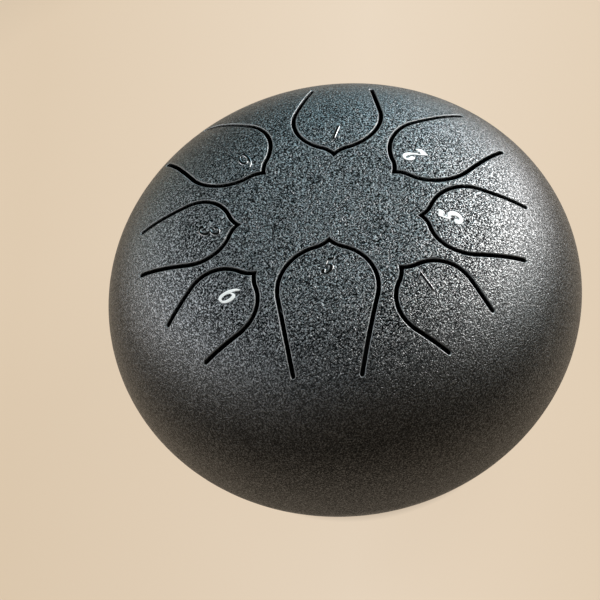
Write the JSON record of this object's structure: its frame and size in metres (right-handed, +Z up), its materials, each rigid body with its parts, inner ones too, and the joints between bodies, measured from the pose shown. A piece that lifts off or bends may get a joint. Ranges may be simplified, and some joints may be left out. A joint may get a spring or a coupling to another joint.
{
  "type": "steel tongue drum",
  "caption": "Small round steel tongue drum: a domed, crinkle-coated hollow body with petal-shaped tongues cut in its top, a sound hole beneath and rubber feet.",
  "frame": {"origin": "centre of the ground plane under the four feet", "axes": "+Z up through the centre of the drum, -Y towards the longest tongue at the player's side, +X to the player's right"},
  "size_m": [0.155, 0.155, 0.0893],
  "materials": {
    "coated_steel": "blue-black crinkle powder coat, satin",
    "weld": "ground flush outside and coated over, low bead inside",
    "rubber": "matt moulded rubber",
    "zinc_steel": "bright zinc plate"
  },
  "bodies": {
    "drum_body": {"upper_shell": "coated_steel", "rim_weld": "weld", "lower_shell": "coated_steel", "foot_front_left": "rubber", "foot_front_right": "rubber", "foot_rear_left": "rubber", "foot_rear_right": "rubber", "foot_insert_washers": "zinc_steel", "foot_screws": "zinc_steel", "flat_washers": "zinc_steel", "spring_washers": "zinc_steel", "hex_nuts": "zinc_steel"},
    "tongue_low_5": {"tongue_low_5": "coated_steel"},
    "tongue_low_6": {"tongue_low_6": "coated_steel"},
    "tongue_mid_1": {"tongue_mid_1": "coated_steel"},
    "tongue_mid_2": {"tongue_mid_2": "coated_steel"},
    "tongue_mid_3": {"tongue_mid_3": "coated_steel"},
    "tongue_mid_5": {"tongue_mid_5": "coated_steel"},
    "tongue_mid_6": {"tongue_mid_6": "coated_steel"},
    "tongue_high_1": {"tongue_high_1": "coated_steel"}
  },
  "joints": [
    {"name": "tongue_low_5_flex", "type": "hinge", "parent": "drum_body", "child": "tongue_low_5", "pos_m": [0, -0.05502, 0.08069], "axis": [-1, 0, 0], "range_deg": [-0.4, 0.4], "stiffness_Nm_per_rad": 46.5},
    {"name": "tongue_low_6_flex", "type": "hinge", "parent": "drum_body", "child": "tongue_low_6", "pos_m": [-0.04515, -0.03925, 0.07782], "axis": [-0.6561, 0.7547, 0], "range_deg": [-0.4, 0.4], "stiffness_Nm_per_rad": 58.3},
    {"name": "tongue_mid_1_flex", "type": "hinge", "parent": "drum_body", "child": "tongue_mid_1", "pos_m": [0.044, -0.03893, 0.07854], "axis": [-0.6626, -0.749, 0], "range_deg": [-0.4, 0.4], "stiffness_Nm_per_rad": 62.2},
    {"name": "tongue_mid_2_flex", "type": "hinge", "parent": "drum_body", "child": "tongue_mid_2", "pos_m": [0.04679, 0.03996, 0.07652], "axis": [0.6494, -0.7604, 0], "range_deg": [-0.4, 0.4], "stiffness_Nm_per_rad": 52.2},
    {"name": "tongue_mid_3_flex", "type": "hinge", "parent": "drum_body", "child": "tongue_mid_3", "pos_m": [-0.06186, -0.0027, 0.07629], "axis": [-0.0436, 0.999, 0], "range_deg": [-0.4, 0.4], "stiffness_Nm_per_rad": 47.3},
    {"name": "tongue_mid_5_flex", "type": "hinge", "parent": "drum_body", "child": "tongue_mid_5", "pos_m": [0.06083, -0.00106, 0.07706], "axis": [-0.0175, -0.9998, 0], "range_deg": [-0.4, 0.4], "stiffness_Nm_per_rad": 56},
    {"name": "tongue_mid_6_flex", "type": "hinge", "parent": "drum_body", "child": "tongue_mid_6", "pos_m": [-0.05062, 0.04324, 0.07184], "axis": [0.6494, 0.7604, 0], "range_deg": [-0.4, 0.4], "stiffness_Nm_per_rad": 45.1},
    {"name": "tongue_high_1_flex", "type": "hinge", "parent": "drum_body", "child": "tongue_high_1", "pos_m": [0.00103, 0.0592, 0.07824], "axis": [0.9998, -0.0175, 0], "range_deg": [-0.4, 0.4], "stiffness_Nm_per_rad": 54.8}
  ]
}
